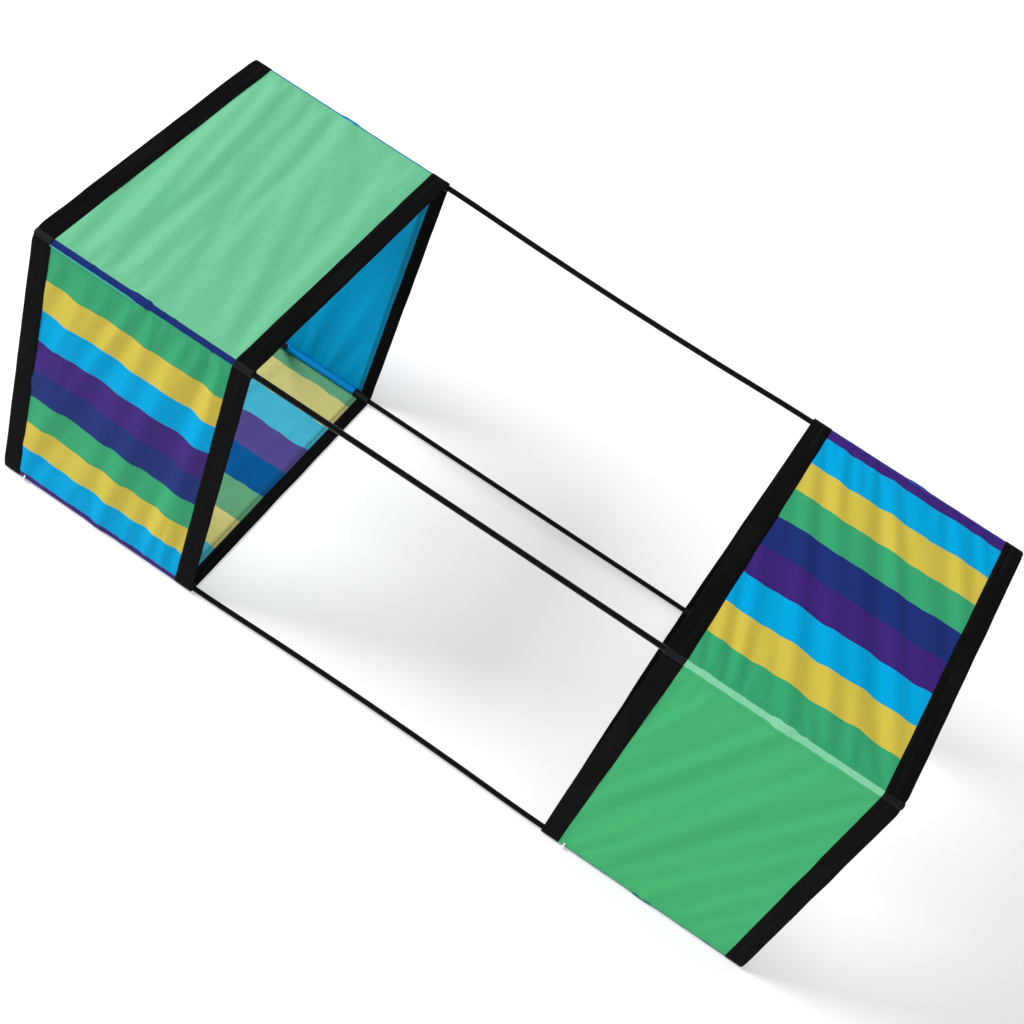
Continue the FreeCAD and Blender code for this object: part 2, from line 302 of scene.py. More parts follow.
def cloth_material(name, colour, shade=1.0, shine=0.08, streaks=0.4, glow=0.2, painted_shade_tint=(0.8, 0.8, 0.8),
                   rib=0.07):
    """Printed ripstop cloth: weave, streaks and folds of painted shade, uneven threads and light passing
    through.

    streaks is how strongly the painted shade of streaks and folds shows, glow is the share of light let
    through, the painted shade tint is the colour factor of the folds' sides turned from the light, shade
    darkens the whole colour as painted shade, and rib is how dark the heavier threads look.
    """
    nodes = Nodes(name)
    base = scaled(linear(colour), shade)
    nodes.set("Base Color", base)
    uv = nodes.add("UVMap").outputs[0]
    weave = ripstop(nodes, uv)
    # painted shade: stretched noise darkens the colour in streaks, where tension wrinkles would shade the
    # cloth
    long_painted_streaks = nodes.noise(nodes.stretched(uv, (26, 5.5, 1), PAINTED_STREAK_TURN), 1.0, 2.0)
    short_painted_streaks = nodes.noise(nodes.stretched(uv, (70, 14, 1), PAINTED_STREAK_TURN), 1.0, 2.0)
    painted_streak = nodes.plus(nodes.times(long_painted_streaks, 0.7), nodes.times(short_painted_streaks, 0.3))
    # painted shade: the side of each fold that turns from the key light is darkened by the fold's lean
    lean = nodes.add("Attribute")
    lean.attribute_name = "lean"
    shaded_side = nodes.ramp(lean.outputs["Fac"], 0.78, 0.22)
    painted_shade_tone = nodes.plus(nodes.times(nodes.ramp(painted_streak, 0.40, 0.64), 0.2), shaded_side)
    share = nodes.times(painted_shade_tone, streaks)
    painted_shade_colour = [c * factor for c, factor in zip(base, painted_shade_tint)] + [1.0]
    shade_painted_colour = nodes.mix(share, base, painted_shade_colour)
    slub = nodes.noise(nodes.stretched(uv, (900, 300, 1)), 1.0, 2.0)
    threaded = nodes.mix(nodes.times(slub, 0.12), shade_painted_colour, scaled(base, 1.25))
    ribbed = nodes.mix(nodes.times(weave, rib), threaded, scaled(base, 0.7))
    rough = nodes.plus(0.5, nodes.times(slub, 0.16))
    nodes.set("Base Color", ribbed)
    nodes.set("Roughness", rough)
    nodes.set("Specular IOR Level", shine)
    nodes.bump(weave, 0.05 * MM, 0.6)
    through = nodes.add("BsdfTranslucent", Color=ribbed)
    shader = nodes.add("MixShader", Fac=glow)
    nodes.tree.links.new(nodes.bsdf.outputs[0], shader.inputs[1])
    nodes.tree.links.new(through.outputs[0], shader.inputs[2])
    nodes.tree.links.new(shader.outputs[0], nodes.output.inputs[0])
    return nodes.material


def binding_material(name, painted_sheen_colour, shine):
    """Black woven binding: a fine diagonal rib, faint folds and a paler painted sheen along them."""
    nodes = Nodes(name)
    base = linear((11, 11, 12))
    nodes.set("Base Color", base)
    uv = nodes.add("UVMap").outputs[0]
    split = nodes.add("SeparateXYZ", Vector=uv)
    diagonal = nodes.plus(split.outputs[0], split.outputs[1])
    rib = nodes.math("SINE", nodes.times(diagonal, 2 * math.pi / (0.9 * MM)))
    folds = nodes.noise(nodes.stretched(uv, (240, 9, 1)), 1.0, 4.0)
    # painted sheen: paler colour where the folds catch the light
    painted_sheen = nodes.ramp(folds, 0.5, 0.75)
    nodes.set("Base Color", nodes.mix(painted_sheen, base, linear(painted_sheen_colour)))
    nodes.set("Roughness", nodes.ramp(folds, -0.9, 1.3))
    nodes.set("Specular IOR Level", shine)
    height = nodes.plus(nodes.times(rib, 0.3), nodes.times(folds, 3.0))
    nodes.bump(height, 0.08 * MM, 0.7)
    return nodes.material


def thread_material(name, colour):
    """Twisted sewing thread."""
    nodes = Nodes(name)
    base = linear(colour)
    nodes.set("Base Color", base)
    place = nodes.add("TexCoord").outputs["Object"]
    twist = nodes.noise(place, 4000.0, 1.0)
    nodes.set("Base Color", nodes.mix(twist, scaled(base, 0.8), scaled(base, 1.2)))
    nodes.set("Roughness", 0.7)
    nodes.set("Specular IOR Level", 0.1)
    nodes.bump(twist, 0.05 * MM, 0.5)
    return nodes.material


def rod_material():
    """Satin black glass-fibre rod: long fine streaks along it and small scuffs."""
    nodes = Nodes("black_rod")
    base = linear((5, 7, 6))
    nodes.set("Base Color", base)
    place = nodes.add("TexCoord").outputs["Object"]
    fibres = nodes.noise(nodes.stretched(place, (8, 900, 900)), 1.0, 3.0)
    scuffs = nodes.ramp(nodes.noise(place, 160.0, 6.0), 0.62, 0.72)
    fibrous = nodes.mix(nodes.times(fibres, 0.5), base, linear((13, 15, 14)))
    scuffed = nodes.mix(nodes.times(scuffs, 0.3), fibrous, linear((34, 36, 36)))
    nodes.set("Base Color", scuffed)
    nodes.set("Specular IOR Level", 0.09)
    nodes.set("Roughness", nodes.plus(0.3, nodes.times(scuffs, 0.3)))
    nodes.bump(fibres, 0.04 * MM, 0.5)
    return nodes.material


def moulded_material(name, colour, roughness):
    """Moulded plastic or rubber: fine pitted skin with slight gloss change and paler and darker patches."""
    nodes = Nodes(name)
    base = linear(colour)
    nodes.set("Base Color", base)
    place = nodes.add("TexCoord").outputs["Object"]
    pits = nodes.noise(place, 2600.0, 2.0)
    patches = nodes.noise(place, 120.0, 3.0)
    nodes.set("Base Color", nodes.mix(patches, scaled(base, 0.8), scaled(base, 1.5)))
    nodes.set("Roughness", nodes.plus(roughness, nodes.times(patches, 0.15)))
    nodes.bump(pits, 0.05 * MM, 0.4)
    return nodes.material


def steel_material():
    """Drawn steel pin with turning marks."""
    nodes = Nodes("pin_steel")
    nodes.set("Base Color", linear((168, 168, 170)))
    nodes.set("Metallic", 1.0)
    place = nodes.add("TexCoord").outputs["Object"]
    marks = nodes.noise(nodes.stretched(place, (3000, 400, 400)), 1.0, 2.0)
    nodes.set("Roughness", nodes.plus(0.25, nodes.times(marks, 0.2)))
    nodes.bump(marks, 0.02 * MM, 0.4)
    return nodes.material


# Cloths that differ from the rest in more than colour
CLOTH_FINISH = {
    "mint": {"painted_shade_tint": (0.5, 0.83, 0.76)},
    "leaf": {"streaks": 0.3, "painted_shade_tint": (0.6, 0.85, 0.9)},
    "cyan": {"shine": 0.02},
    "leaf_painted_highlight": {"shine": 0.6, "glow": 0.1},
}
CLOTH = {name: cloth_material("cloth_" + name, colour, **CLOTH_FINISH.get(name, {}))
         for name, colour in CLOTH_COLOURS.items()}
REVERSE = {name: cloth_material("reverse_" + name, colour, rib=0.3)
           for name, colour in REVERSE_COLOURS.items()}
# painted shade: the doubled facings take the inside colours darkened to 0.7, for the light that two layers
# hold back
FACING = {name: cloth_material("facing_" + name, colour, shade=0.7)
          for name, colour in REVERSE_COLOURS.items()}
THREAD = {name: thread_material("thread_" + name, colour) for name, colour in CLOTH_COLOURS.items()}
# painted sheen: the paler colours stand in for the highlights along the binding's folds, brighter and bluish
# where it is stretched round a rod
BINDING = binding_material("black_binding", (20, 20, 22), 0.012)
STRETCHED_BINDING = binding_material("black_binding_stretched", (23, 25, 33), 0.13)
BLACK_THREAD = thread_material("black_thread", (10, 10, 11))
GREEN_THREAD = thread_material("green_thread", (24, 84, 66))
ROD = rod_material()
PLASTIC = moulded_material("black_nylon", (24, 24, 25), 0.42)
RUBBER = moulded_material("black_vinyl", (18, 18, 18), 0.55)
STEEL = steel_material()
CORD = thread_material("white_cord", (226, 226, 220))

# -------------------------------- mesh helpers


def piece(name, points, faces, materials, face_material=None, uvs=None):
    """Make one smooth-shaded mesh object. uvs holds a pair for each point."""
    mesh = bpy.data.meshes.new(name)
    mesh.from_pydata([tuple(p) for p in points], [], faces)
    for material in materials:
        mesh.materials.append(material)
    if face_material is not None:
        mesh.polygons.foreach_set("material_index", face_material)
    mesh.polygons.foreach_set("use_smooth", [True] * len(faces))
    if uvs is not None:
        layer = mesh.uv_layers.new(name="UVMap")
        loops = np.zeros(len(mesh.loops), int)
        mesh.loops.foreach_get("vertex_index", loops)
        layer.data.foreach_set("uv", np.array(uvs, float)[loops].ravel())
    mesh.validate()
    mesh.update()
    thing = bpy.data.objects.new(name, mesh)
    bpy.context.scene.collection.objects.link(thing)
    return thing


def grid_faces(rows, columns, wrap=False):
    """Return the faces of a grid of points stored row by row. wrap joins the last column to the first."""
    faces = []
    for r in range(rows - 1):
        for c in range(columns if wrap else columns - 1):
            d = (c + 1) % columns
            faces.append((r * columns + c, r * columns + d, (r + 1) * columns + d, (r + 1) * columns + c))
    return faces


def bell(distance, width):
    """Return a smooth bump of height 1, falling to about zero beyond its width."""
    return math.exp(-((distance / width) ** 2) * 2.2)


def solidify(thing, thickness, offset=0.0):
    """Give a sheet its thickness. offset is 0 to grow both ways and -1 to grow inward only."""
    modifier = thing.modifiers.new("thickness", "SOLIDIFY")
    modifier.thickness = thickness
    modifier.offset = offset
    modifier.use_even_offset = False
    return modifier


def subdivide(thing):
    """Smooth a mesh by one subdivision."""
    modifier = thing.modifiers.new("smooth", "SUBSURF")
    modifier.levels = 1
    modifier.render_levels = 1


def capsule_chain(paths, radius, sides=6):
    """Return points and faces of many short closed rounded threads, one for each path."""
    points, faces = [], []
    for path in paths:
        path = [np.array(p, float) for p in path]
        start = len(points)
        for i, p in enumerate(path):
            ahead = path[min(i + 1, len(path) - 1)] - path[max(i - 1, 0)]
            ahead /= np.linalg.norm(ahead)
            side = np.cross(ahead, (0.31, 0.52, 0.79))
            side /= np.linalg.norm(side)
            up = np.cross(ahead, side)
            r = radius * (0.45 if i in (0, len(path) - 1) else 1.0)
            for k in range(sides):
                a = 2 * math.pi * k / sides
                points.append(p + (side * math.cos(a) + up * math.sin(a)) * r)
        for i in range(len(path) - 1):
            for k in range(sides):
                a = start + i * sides
                m = (k + 1) % sides
                faces.append((a + k, a + m, a + sides + m, a + sides + k))
        faces.append(tuple(start + k for k in reversed(range(sides))))
        last = start + (len(path) - 1) * sides
        faces.append(tuple(last + k for k in range(sides)))
    return points, faces


# -------------------------------- panels


class Sheet:
    """One panel of cloth as a grid: u runs along X, and v from the first corner to the second."""

    def __init__(self, cell, side):
        self.name = cell + "_" + side
        self.sign = CELLS[cell]
        self.cell = cell
        self.side = side
        outward, first, second = SIDES[side]
        self.outward = np.array(outward, float)
        self.start = AXIS[first]
        self.along = (AXIS[second] - AXIS[first]) / SIDE_LENGTH
        self.cloth = PANEL_CLOTH[self.name]
        columns = int(round((PANEL_HIGH_X - PANEL_LOW_X + 2 * TUCK) / GRID))
        self.x = np.linspace(PANEL_LOW_X - TUCK, PANEL_HIGH_X + TUCK, columns + 1)
        if self.sign < 0:
            self.x = -self.x[::-1]
        self.lay_rows()
        self.place()

    def lay_rows(self):
        """Set the rows, so that every stripe's edge falls on one. kinds holds each row's stripe number."""
        edges = [0.0, SIDE_LENGTH]
        if self.cloth is None:
            first, pitch = PRINT[self.name]
            inside = np.arange(first, SIDE_LENGTH - GRID, pitch)
            edges = [0.0, *inside, SIDE_LENGTH]
        rows, self.kinds = [0.0], []
        for number, (low, high) in enumerate(zip(edges[:-1], edges[1:])):
            count = max(1, int(round((high - low) / GRID)))
            rows += list(low + (high - low) * np.arange(1, count + 1) / count)
            self.kinds += [number % len(STRIPES) if self.cloth is None else 0] * count
        self.v = np.array(rows)

    def print_wave(self, x, v):
        """Return how far the printed stripes wander from straight at a place."""
        if self.cloth is not None:
            return 0.0
        place = 2 * math.pi * (x + WAVE_SLANT * v) / WAVE_LENGTH
        shape = math.sin(place + 1.0) + 0.45 * math.sin(2.4 * place) + 0.25 * math.sin(4.1 * place + 2.0)
        edge = min(1.0, min(v, SIDE_LENGTH - v) / (20 * MM))
        return WAVE_HEIGHT * shape * edge

    def place(self):
        """Lay the grid out flat over its frame."""
        self.points = np.zeros((len(self.v), len(self.x), 3))
        self.uv = np.zeros((len(self.v), len(self.x), 2))
        for j, v in enumerate(self.v):
            for i, x in enumerate(self.x):
                across = v + self.print_wave(x, v)
                height = SHEET_OFFSET + self.bump(x, across)
                point = self.start + self.along * across + self.outward * height
                point[0] = x
                self.points[j, i] = point
                self.uv[j, i] = (x, across)

    def bump(self, x, across):
        """Return how far the cloth is lifted over the spreader fittings at its two edges."""
        edge = min(across, SIDE_LENGTH - across)
        lift = BUMP_HEIGHT * bell(x - self.sign * CELL_CENTRE, BUMP_LENGTH) * bell(edge, 1.2 * BUMP_LENGTH)
        return 0.0 if self.side == "bottom" else lift

    def faces(self):
        """Return the grid's faces, and each face's stripe number."""
        quads = grid_faces(len(self.v), len(self.x))
        normal = np.cross([1, 0, 0], self.along)
        if normal @ self.outward < 0:
            quads = [tuple(reversed(q)) for q in quads]
        columns = len(self.x) - 1
        return quads, [self.kinds[n // columns] for n in range(len(quads))]

    def slant(self):
        """Return how steeply each point of the cloth leans along X, from 0 to 1 with 0.5 level."""
        relief = (self.points - self.start) @ self.outward
        lean = np.gradient(relief, self.x, axis=1)
        return np.clip(0.5 + lean / (2 * STEEP), 0, 1)

    def dyes(self):
        """Return the colours of the outside, one for each kind of row."""
        return STRIPES if self.cloth is None else [self.cloth]

    def reverse_dyes(self):
        """Return the same for the inside."""
        if self.cloth is None:
            return STRIPES
        return ["cyan_plain" if self.cloth == "cyan" else self.cloth]

    def surface(self, x, across):
        """Return the cloth's point and outward normal at a place."""
        i = float(np.clip(np.interp(x, self.x, np.arange(len(self.x))), 0, len(self.x) - 1.001))
        rows = self.uv[:, int(round(i)), 1]
        j = float(np.clip(np.interp(across, rows, np.arange(len(rows))), 0, len(rows) - 1.001))
        a, b = int(i), int(j)
        s, t = i - a, j - b
        p = self.points
        low = p[b, a] * (1 - s) + p[b, a + 1] * s
        high = p[b + 1, a] * (1 - s) + p[b + 1, a + 1] * s
        span_x = p[b, a + 1] - p[b, a]
        span_v = p[b + 1, a] - p[b, a]
        normal = np.cross(span_x, span_v)
        normal /= np.linalg.norm(normal)
        if normal @ self.outward < 0:
            normal = -normal
        return low * (1 - t) + high * t, normal


def spare_length(sheet, slack, gathers):
    """Return how far each column starts from its place, so that spare cloth lies where it should gather."""
    low, length = sheet.x[0], sheet.x[-1] - sheet.x[0]
    weight = [0.1 + sum(amount * bell(x - low - share * length, GATHER_WIDTH) for share, amount in gathers)
              for x in sheet.x]
    running = np.concatenate([[0.0], np.cumsum((np.array(weight[1:]) + weight[:-1]) / 2)])
    running /= running[-1]
    return slack * length * (running - 0.5)


def flat_cloth(sheet, number):
    """Make a panel's cloth before it settles: too long for its frame, which closes in over a few frames."""
    rows, columns = len(sheet.v), len(sheet.x)
    slack, shift, gathers = SLACK[sheet.name]
    rough = sheet.points.copy()
    for j in range(1, rows - 1):
        for i in range(1, columns - 1):
            u, v = sheet.uv[j, i]
            if PANEL_LOW_X < abs(sheet.x[i]) < PANEL_HIGH_X:
                place = (u * 14 + 11 * number, v * 4, 3.7 * number)
                rough[j, i] += sheet.outward * noise.noise(place) * MM
    wide = rough.copy()
    wide[:, :, 0] += spare_length(sheet, slack, gathers)
    wide[:, :, 0] += shift * (sheet.v[:, None] / SIDE_LENGTH - 0.5)
    thing = piece("drape_" + sheet.name, wide.reshape(-1, 3), grid_faces(rows, columns), [])
    thing.shape_key_add(name="Basis")
    closed = thing.shape_key_add(name="closed")
    closed.data.foreach_set("co", rough.ravel())
    closed.value = 0.0
    closed.keyframe_insert("value", frame=1)
    closed.value = 1.0
    closed.keyframe_insert("value", frame=SETTLE_FRAMES)
    held = (np.abs(sheet.x) < PANEL_LOW_X - MM) | (np.abs(sheet.x) > PANEL_HIGH_X + MM)
    edge = [j * columns + i for j in range(rows) for i in range(columns) if j in (0, rows - 1) or held[i]]
    thing.vertex_groups.new(name="pin").add(edge, 1.0, "REPLACE")
    return thing


def add_cloth(thing):
    """Add the cloth simulation: light stiff nylon held along its pinned edges, without gravity."""
    modifier = thing.modifiers.new("drape", "CLOTH")
    settings = modifier.settings
    settings.quality = 6
    settings.mass = 0.02
    settings.air_damping = 1.0
    settings.tension_stiffness = 15
    settings.compression_stiffness = 15
    settings.shear_stiffness = 5
    settings.bending_stiffness = 0.8
    settings.vertex_group_mass = "pin"
    settings.effector_weights.gravity = 0.0
    modifier.collision_settings.use_collision = False
    modifier.point_cache.frame_start = 1
    modifier.point_cache.frame_end = SIM_FRAMES


def drape(sheets):
    """Let every panel settle by cloth simulation, and keep the settled points."""
    things = [flat_cloth(sheet, number) for number, sheet in enumerate(sheets)]
    for thing in things:
        add_cloth(thing)
    for number in range(1, SIM_FRAMES + 1):
        bpy.context.scene.frame_set(number)
    graph = bpy.context.evaluated_depsgraph_get()
    for sheet, thing in zip(sheets, things):
        settled = thing.evaluated_get(graph).to_mesh()
        points = np.zeros(len(settled.vertices) * 3)
        settled.vertices.foreach_get("co", points)
        sheet.points = points.reshape(sheet.points.shape)
        if sheet.side == "bottom":
            sheet.points[:, :, 2] = np.maximum(sheet.points[:, :, 2], CLOTH_THICKNESS)
    bpy.context.scene.frame_set(1)
    for thing in things:
        bpy.data.objects.remove(thing)


def stitches(sheet, lines, depth, zigzag=0.0):
    """Return thread paths along straight lines on a sheet.

    depth is outward from the cloth's middle, and zigzag is how wide the stitches swing.
    """
    paths = []
    for (x0, v0), (x1, v1) in lines:
        length = math.hypot(x1 - x0, v1 - v0)
        count = int(length / STITCH_PITCH)
        for k in range(count):
            path = []
            for step in (0.0, 0.5, 1.0):
                t = (k + 0.5) / count + (step - 0.5) * STITCH_LENGTH / length
                swing = zigzag * (step - 0.5) * (1 if k % 2 else -1)
                dx, dv = (x1 - x0) / length, (v1 - v0) / length
                x = x0 + (x1 - x0) * t - dv * swing
                v = v0 + (v1 - v0) * t + dx * swing
                point, normal = sheet.surface(x, v)
                lift = depth + (THREAD_LIFT if step == 0.5 else 0.0) * (1 if depth > 0 else -1)
                path.append(point + normal * lift)
            paths.append(path)
    return paths


def make_panel(sheet):
    """Make a panel's cloth, the doubled facing along its edges inside, and its seams."""
    quads, stripe = sheet.faces()
    outside = [CLOTH[name] for name in sheet.dyes()]
    inside = [REVERSE[name] for name in sheet.reverse_dyes()]
    cloth = piece(sheet.name + "_cloth", sheet.points.reshape(-1, 3), quads, outside + inside, stripe,
                  sheet.uv.reshape(-1, 2))
    # painted shade: the material darkens the side of each fold that turns from the key light by this
    lean = cloth.data.attributes.new("lean", "FLOAT", "POINT")
    lean.data.foreach_set("value", sheet.slant().ravel())
    subdivide(cloth)
    shell = solidify(cloth, CLOTH_THICKNESS)
    shell.material_offset = len(outside)
    body = sheet.side + "_side"
    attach(cloth, body)
    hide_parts(sheet.cell + "_panel_" + sheet.side)
    make_facing(sheet, body)
    make_seams(sheet, body)


def make_facing(sheet, body):
    """Make the narrow doubled strip inside, between each hem's inner fold and its outer edge."""
    width = HEM_WIDTH - HEM_INSIDE_WIDTH + 2 * MM
    points, faces, kinds, uvs = [], [], [], []
    steps = 3
    low, high = sorted((PANEL_LOW_X * sheet.sign, PANEL_HIGH_X * sheet.sign))
    for edge, towards in ((low, -1), (high, 1)):
        base = len(points)
        for v in sheet.v:
            for s in range(steps + 1):
                x = edge + towards * width * s / steps
                across = min(max(v + sheet.print_wave(x, v), 0), SIDE_LENGTH)
                point, normal = sheet.surface(x, across)
                points.append(point - normal * (CLOTH_THICKNESS / 2 + 0.2 * MM))
                uvs.append((x, across))
        for j in range(len(sheet.v) - 1):
            for s in range(steps):
                a = base + j * (steps + 1) + s
                faces.append((a, a + 1, a + steps + 2, a + steps + 1))
                kinds.append(sheet.kinds[j])
    dyed = [FACING[name] for name in sheet.reverse_dyes()]
    strip = piece(sheet.name + "_facing", points, faces, dyed, kinds, uvs)
    solidify(strip, 0.25 * MM)
    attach(strip, body)


def make_seams(sheet, body):
    """Make the zigzag along the facings inside, and the straight seams by the longerons."""
    low, high = sorted((PANEL_LOW_X * sheet.sign, PANEL_HIGH_X * sheet.sign))
    allowance = HEM_WIDTH - HEM_INSIDE_WIDTH
    inside = [((x, SEAM_END), (x, SIDE_LENGTH - SEAM_END))
              for x in (low - allowance * 0.4, high + allowance * 0.4)]
    under = CLOTH_THICKNESS / 2 + 0.35 * MM
    rows = [(stitches(sheet, inside, -under, zigzag=ZIGZAG_WIDTH), 1.6 * THREAD_RADIUS)]
    for v in (SEAM_FROM_AXIS, SIDE_LENGTH - SEAM_FROM_AXIS):
        paths = stitches(sheet, [((low, v), (high, v))], CLOTH_THICKNESS / 2 + 0.05 * MM)
        rows.append((paths, THREAD_RADIUS))
    points, faces, kinds = [], [], []
    for number, (paths, radius) in enumerate(rows):
        thread_points, thread_faces = capsule_chain(paths, radius)
        faces += [tuple(len(points) + k for k in f) for f in thread_faces]
        points += thread_points
        kinds += [number] * len(thread_faces)
    dyes = [sheet.dyes()[sheet.kinds[0]], sheet.dyes()[sheet.kinds[-1]]]
    threads = [GREEN_THREAD, THREAD[dyes[0]], THREAD[dyes[1]]]
    seam = piece(sheet.name + "_stitching", points, faces, threads, kinds)
    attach(seam, body)


# -------------------------------- hems


def hem_section():
    """Return the outline of a folded hem: distance in from the mouth, and height inward from its outer face.

    The outer layer is the full width. The inner layer stops short and leaves the facing in view.
    """
    depth = HEM_THICKNESS
    edge = 0.15 * MM
    fold = [(0.30 * depth, 0.0), (0.06 * depth, 0.18 * depth), (0.0, 0.5 * depth),
            (0.06 * depth, 0.82 * depth), (0.30 * depth, depth)]
    inner = [(t * HEM_INSIDE_WIDTH, depth + HEM_PUFF * math.sin(math.pi * t))
             for t in (0.2, 0.4, 0.6, 0.8, 0.97)]
    inner += [(HEM_INSIDE_WIDTH, depth - edge), (HEM_INSIDE_WIDTH, HEM_LAYER)]
    outer = [(HEM_WIDTH - edge, HEM_LAYER), (HEM_WIDTH, HEM_LAYER / 2), (HEM_WIDTH - edge, 0.0)]
    back = [(t * HEM_WIDTH, -HEM_PUFF * math.sin(math.pi * t)) for t in (0.85, 0.7, 0.55, 0.4, 0.25, 0.12)]
    return fold + inner + outer + back


class Hem:
    """One hem of one side: where it runs and how it wanders."""

    def __init__(self, side, cell, mouth):
        outward, first, second = SIDES[side]
        self.side = side
        self.name = f"{cell}_{mouth}_hem_{side}"
        self.outward = np.array(outward, float)
        self.start = AXIS[first]
        self.along = (AXIS[second] - self.start) / SIDE_LENGTH
        self.mouth = mouth
        self.sign = CELLS[cell]
        self.edge = self.sign * (KITE_END if mouth == "outer" else INNER_MOUTH)
        self.into = self.sign * (-1 if mouth == "outer" else 1)  # from the mouth into the cell
        self.seed = 5.1 * list(SIDES).index(side) + 2.3 * self.sign + (0.7 if mouth == "outer" else 0)

    def point(self, v, along_x, depth):
        """Return a point of the hem, at a distance in from its mouth and inward from its outer face."""
        from_end = min(v, SIDE_LENGTH - v)
        fade = min(1.0, from_end / (25 * MM))
        sway = noise.noise((v * 22, self.seed, 0)) * 0.5 * MM * fade
        ripple = noise.noise((v * 45, self.seed, 4)) * 0.35 * MM * fade
        pucker = noise.noise((v * 240, along_x * 200, self.seed)) * 0.07 * MM * fade
        if self.side == "bottom":
            ripple = -abs(ripple)
            pucker = -abs(pucker)
            depth = max(depth, 0.0)
        cut = CORNER_CUT if self.mouth == "outer" else 0.0
        cut *= max(0.0, 1 - from_end / CORNER_CUT_LENGTH) ** 1.5 * (1 - along_x / HEM_WIDTH)
        point = self.start + self.along * v + self.outward * (SKIN_OUTER - depth + ripple + pucker)
        point[0] = self.edge + self.into * (along_x + cut + sway)
        return point


def hem_stitches(hem):
    """Return the thread paths of a hem: a row near each edge outside, and one near the inner edge."""
    paths = []
    mouth = 2.5 * MM
    edge = 1.6 * MM
    rows = ((mouth, 0.0), (HEM_WIDTH - edge, 0.0), (HEM_INSIDE_WIDTH - edge, HEM_THICKNESS))
    for along_x, depth in rows:
        for n in range(int((SIDE_LENGTH - 2 * SEAM_END) / STITCH_PITCH)):
            v = SEAM_END + n * STITCH_PITCH
            lift = -THREAD_LIFT if depth == 0 else THREAD_LIFT
            paths.append([hem.point(v + t * STITCH_LENGTH, along_x, depth + (lift if t == 0.5 else 0.0))
                          for t in (0.0, 0.5, 1.0)])
    return paths


def make_hem(side, cell, mouth):
    """Make one hem of one side: a folded band of binding with its stitches."""
    hem = Hem(side, cell, mouth)
    outline = hem_section()
    points, uvs = [], []
    for j in range(HEM_STEPS + 1):
        v = SIDE_LENGTH * j / HEM_STEPS
        around = 0.0
        for k, (along_x, depth) in enumerate(outline):
            points.append(hem.point(v, along_x, depth))
            uvs.append((around, v))
            ahead = outline[(k + 1) % len(outline)]
            around += math.hypot(ahead[0] - along_x, ahead[1] - depth)
    count = len(outline)
    faces = grid_faces(HEM_STEPS + 1, count, wrap=True)
    faces.append(tuple(reversed(range(count))))
    faces.append(tuple(HEM_STEPS * count + k for k in range(count)))
    # the outline turns from the outer face to the inner one at the mouth
    if np.cross([hem.into, 0, 0], hem.along) @ hem.outward < 0:
        faces = [tuple(reversed(f)) for f in faces]
    kinds = [0] * len(faces)
    thread_points, thread_faces = capsule_chain(hem_stitches(hem), 0.9 * THREAD_RADIUS, 5)
    offset = len(points)
    points += thread_points
    uvs += [(0, 0)] * len(thread_points)
    faces += [tuple(offset + k for k in f) for f in thread_faces]
    kinds += [1] * len(thread_faces)
    band = piece(hem.name, points, faces, [BINDING, BLACK_THREAD], kinds, uvs)
    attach(band, side + "_side")
    return band


def wrap_mesh(name, corner, profile, seed, closed=False):
    """Make a tube of binding round a longeron from its profile, pairs of X and radius.

    closed ends it with a face.
    """
    axis = AXIS[corner]
    around = 32
    points, uvs = [], []
    for x, radius in profile:
        for k in range(around):
            a = 2 * math.pi * k / around
            crease = noise.noise((x * 260, math.cos(a) * 1.3 + seed, math.sin(a) * 1.3)) * 0.16 * MM
            r = radius + crease * min(1.0, radius / (3 * MM))
            height = max(axis[2] + r * math.sin(a), FLOOR_GAP)
            points.append((x, axis[1] + r * math.cos(a), height))
            uvs.append((x, a * radius))
    faces = grid_faces(len(profile), around, wrap=True)
    if closed:
        faces.append(tuple((len(profile) - 1) * around + k for k in range(around)))
    if profile[-1][0] < profile[0][0]:
        faces = [tuple(reversed(f)) for f in faces]
    return piece(name, points, faces, [STRETCHED_BINDING], uvs=uvs)


def make_corner_pocket(corner, cell):
    """Make the hem's closed pocket round a longeron's end, with its blunt rounded nub."""
    sign = CELLS[cell]
    start = KITE_END - HEM_WIDTH
    nub = 0.4 * MM  # how far it stands out past the hems
    shoulder = 3.6 * MM  # length of the rounded end
    tip_radius = 0.05 * MM
    steps, round_steps = 14, 7
    shape = [(start + 0.4 * MM, WRAP_SKIN - 1.3 * MM), (start, WRAP_SKIN - 0.7 * MM)]
    shape.append((start + 0.3 * MM, WRAP_SKIN))
    for k in range(1, steps + 1):
        shape.append((start + (HEM_WIDTH - shoulder) * k / steps, WRAP_SKIN))
    for k in range(1, round_steps + 1):
        a = math.pi / 2 * k / round_steps
        reach = KITE_END - shoulder + (nub + shoulder) * math.sin(a)
        shape.append((reach, max(WRAP_SKIN * math.cos(a) ** 0.7, tip_radius)))
    shape = [(sign * x, r) for x, r in shape]
    pocket = wrap_mesh(f"{cell}_pocket_{corner}", corner, shape, 3.0 * sign + len(corner), closed=True)
    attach(pocket, corner + "_corner")
    return pocket


def make_inner_wrap(corner, cell):
    """Make the hem where it passes round a longeron at a cell's inner mouth, with turned-in edges."""
    sign = CELLS[cell]
    inner = ROD_RADIUS + 0.35 * MM
    low, high = INNER_MOUTH, INNER_MOUTH + HEM_WIDTH
    steps = 15
    # Edge: distance in from the end, and radius
    edge = [(2 * MM, inner), (0.4 * MM, inner + 0.3 * MM), (0, WRAP_SKIN - 0.8 * MM), (0.5 * MM, WRAP_SKIN)]
    shape = [(low + x, r) for x, r in edge]
    shape += [(low + HEM_WIDTH * k / steps, WRAP_SKIN) for k in range(1, steps)]
    shape += [(high - x, r) for x, r in reversed(edge)]
    shape = [(sign * x, r) for x, r in shape]
    wrap = wrap_mesh(f"{cell}_inner_wrap_{corner}", corner, shape, 1.7 * sign + len(corner))
    solidify(wrap, WRAP_CLOTH, -1.0)
    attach(wrap, corner + "_corner")
    return wrap


# -------------------------------- sleeves


